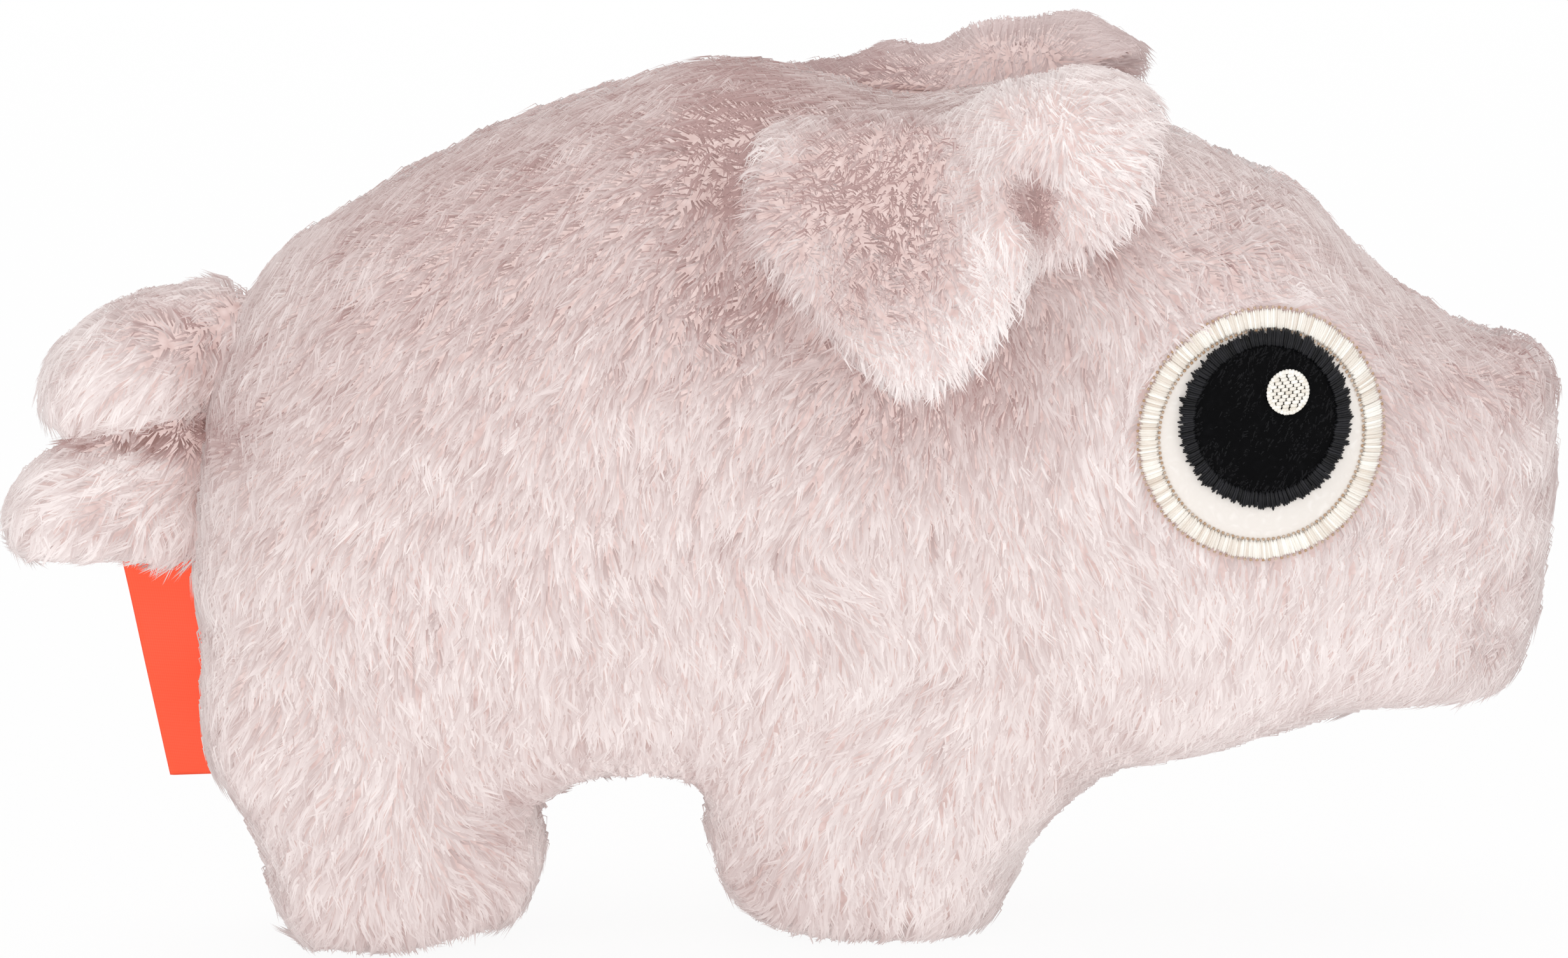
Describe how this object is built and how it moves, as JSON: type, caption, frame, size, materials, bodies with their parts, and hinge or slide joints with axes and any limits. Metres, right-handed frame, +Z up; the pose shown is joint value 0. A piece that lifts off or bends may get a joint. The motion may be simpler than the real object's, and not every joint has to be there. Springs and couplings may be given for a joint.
{
  "type": "plush pig",
  "caption": "Soft plush pig standing on stuffed feet, with floppy hinged ears, a curled tail, embroidered appliqué eyes and a plain folded ribbon tag in the rump seam.",
  "frame": {"origin": "centre of the bounding box in plan, on the plane that the soles stand on", "axes": "+X towards the snout, +Y towards the far side, +Z up"},
  "size_m": [0.2062, 0.0736, 0.1176],
  "materials": {
    "body_pile": "soft pale pink pile fabric, about 4 mm long, brushed down the sides",
    "tail_pile": "the same pale pink pile fabric on the stuffed tail",
    "ear_pile": "the same pale pink pile fabric, curlier and darker in the hollow of the ear",
    "fibre_filling": "loose white polyester fibre",
    "eye_felt": "matt off-white felt",
    "cream_thread": "glossy cream embroidery thread in satin stitch",
    "black_pile": "short black velour",
    "black_thread": "black embroidery thread in satin stitch",
    "white_thread": "white embroidery thread in filled rows",
    "tag_ribbon": "orange-red woven satin ribbon, bare"
  },
  "bodies": {
    "root": {"trunk_skin": "body_pile", "head_skin": "body_pile", "hind_leg_skin": "body_pile", "front_leg_skin": "body_pile", "fibre_filling": "fibre_filling", "near_eye_white": "eye_felt", "far_eye_white": "eye_felt", "near_eye_white_border": "cream_thread", "far_eye_white_border": "cream_thread", "near_eye_pupil": "black_pile", "far_eye_pupil": "black_pile", "near_eye_pupil_border": "black_thread", "far_eye_pupil_border": "black_thread", "near_eye_highlight": "white_thread", "far_eye_highlight": "white_thread"},
    "near_ear": {"near_ear_face_panel": "ear_pile", "near_ear_back_panel": "ear_pile"},
    "far_ear": {"far_ear_face_panel": "ear_pile", "far_ear_back_panel": "ear_pile"},
    "tail": {"tail_root_curl": "tail_pile", "tail_tip_curl": "tail_pile"},
    "tag": {"ribbon_tag": "tag_ribbon"}
  },
  "joints": [
    {"name": "near_ear_lift", "type": "hinge", "parent": "root", "child": "near_ear", "pos_m": [0.022, -0.0125, 0.111], "axis": [-1, 0, 0], "range_deg": [0, 100]},
    {"name": "far_ear_lift", "type": "hinge", "parent": "root", "child": "far_ear", "pos_m": [0.022, 0.0125, 0.111], "axis": [1, 0, 0], "range_deg": [0, 100]},
    {"name": "tail_sway", "type": "hinge", "parent": "root", "child": "tail", "pos_m": [-0.0741, 0, 0.0806], "axis": [0, 0, 1], "range_deg": [-20, 20], "stiffness_Nm_per_rad": 0.004},
    {"name": "tag_fold", "type": "hinge", "parent": "root", "child": "tag", "pos_m": [-0.07755, 0, 0.05073], "axis": [0.0748, 0, -0.9972], "range_deg": [-60, 60], "stiffness_Nm_per_rad": 0.0004}
  ]
}
